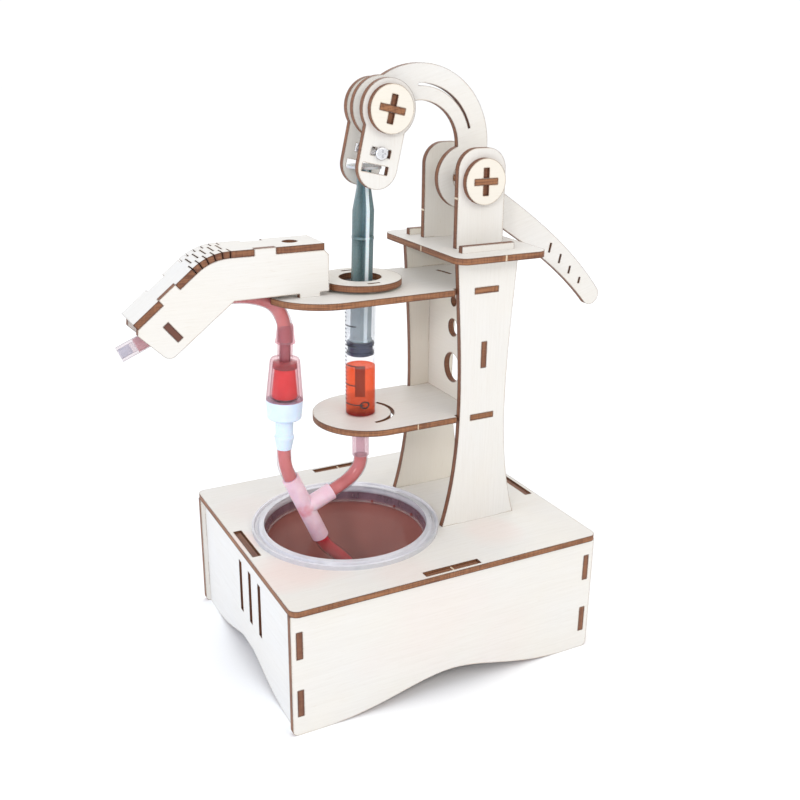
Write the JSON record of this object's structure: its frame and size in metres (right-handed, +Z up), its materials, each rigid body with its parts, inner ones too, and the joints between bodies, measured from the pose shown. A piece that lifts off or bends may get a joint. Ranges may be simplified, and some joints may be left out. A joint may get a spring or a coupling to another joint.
{
  "type": "hand lever water pump kit",
  "caption": "Laser-cut plywood hand-lever water pump kit: a syringe, check valves and a tee lift dyed water from a cup to an elbow spout when the gooseneck lever is worked.",
  "frame": {"origin": "on the table, under the middle of the overall length and width", "axes": "+Z up, the front panel faces -Y, the spout points to -X and the lever's tail to +X"},
  "size_m": [0.2509, 0.134, 0.281],
  "materials": {
    "basswood_ply": "bare laser-cut basswood plywood, charred edges",
    "clear_plastic": "clear glossy polypropylene and polystyrene",
    "frosted_plastic": "frosted translucent white plastic",
    "white_plastic": "satin white plastic",
    "clear_hose": "soft clear vinyl hose tinted by the pink water in it",
    "dark_rubber": "satin black-blue rubber",
    "valve_rubber": "soft silicone",
    "plunger_plastic": "translucent grey-green plastic",
    "steel": "bright plated steel"
  },
  "bodies": {
    "root": {"base_back_panel": "basswood_ply", "base_front_panel": "basswood_ply", "base_left_panel": "basswood_ply", "base_right_panel": "basswood_ply", "base_top_panel": "basswood_ply", "branch_hose": "clear_hose", "column_back_plate": "basswood_ply", "column_brace": "basswood_ply", "column_front_plate": "basswood_ply", "column_top_plate": "basswood_ply", "foot_valve_body": "clear_plastic", "front_upright": "basswood_ply", "inlet_hose": "clear_hose", "lower_shelf": "basswood_ply", "main_axle_level_strip": "basswood_ply", "main_axle_upright_strip": "basswood_ply", "main_front_washer": "basswood_ply", "main_rear_washer": "basswood_ply", "outlet_hose": "clear_hose", "outlet_valve_base": "white_plastic", "outlet_valve_housing": "clear_plastic", "rear_upright": "basswood_ply", "riser_hose": "clear_hose", "spout_cover": "basswood_ply", "spout_front_side": "basswood_ply", "spout_hose_guide": "basswood_ply", "spout_rear_side": "basswood_ply", "syringe_barrel": "clear_plastic", "syringe_collar": "basswood_ply", "tee_connector": "frosted_plastic", "tip_sleeve": "frosted_plastic", "upper_shelf": "basswood_ply", "water_cup": "clear_plastic"},
    "lever": {"lever_plate": "basswood_ply"},
    "link": {"link_front_plate": "basswood_ply", "link_rear_plate": "basswood_ply", "link_axle_level_strip": "basswood_ply", "link_axle_upright_strip": "basswood_ply", "link_front_washer": "basswood_ply", "link_rear_washer": "basswood_ply", "link_screw": "steel", "link_nut": "steel"},
    "plunger": {"plunger_rod": "plunger_plastic", "syringe_piston": "dark_rubber"},
    "outlet_flap": {"outlet_valve_disc": "valve_rubber"},
    "foot_flap": {"foot_valve_disc": "valve_rubber"}
  },
  "joints": [
    {"name": "lever_swing", "type": "hinge", "parent": "root", "child": "lever", "pos_m": [0.04126, 0, 0.2302], "axis": [0, -1, 0], "range_deg": [-3, 26]},
    {"name": "plunger_slide", "type": "slide", "parent": "root", "child": "plunger", "axis": [0, 0, -1], "range_m": [-0.0029, 0.0238]},
    {"name": "link_swing", "type": "hinge", "parent": "lever", "child": "link", "pos_m": [-0.00284, 0, 0.2623], "axis": [0, -1, 0], "range_deg": [-5.6, 1]},
    {"name": "outlet_flap_lift", "type": "slide", "parent": "root", "child": "outlet_flap", "axis": [0.0401, 0, 0.9992], "range_m": [0, 0.0008]},
    {"name": "foot_flap_lift", "type": "slide", "parent": "root", "child": "foot_flap", "axis": [-0.3304, 0, 0.9439], "range_m": [0, 0.0012]}
  ],
  "couplings": [
    {"joint": "plunger_slide", "follows": "lever_swing", "m_per_rad": 0.05191},
    {"joint": "link_swing", "follows": "lever_swing", "ratio": -0.2}
  ]
}
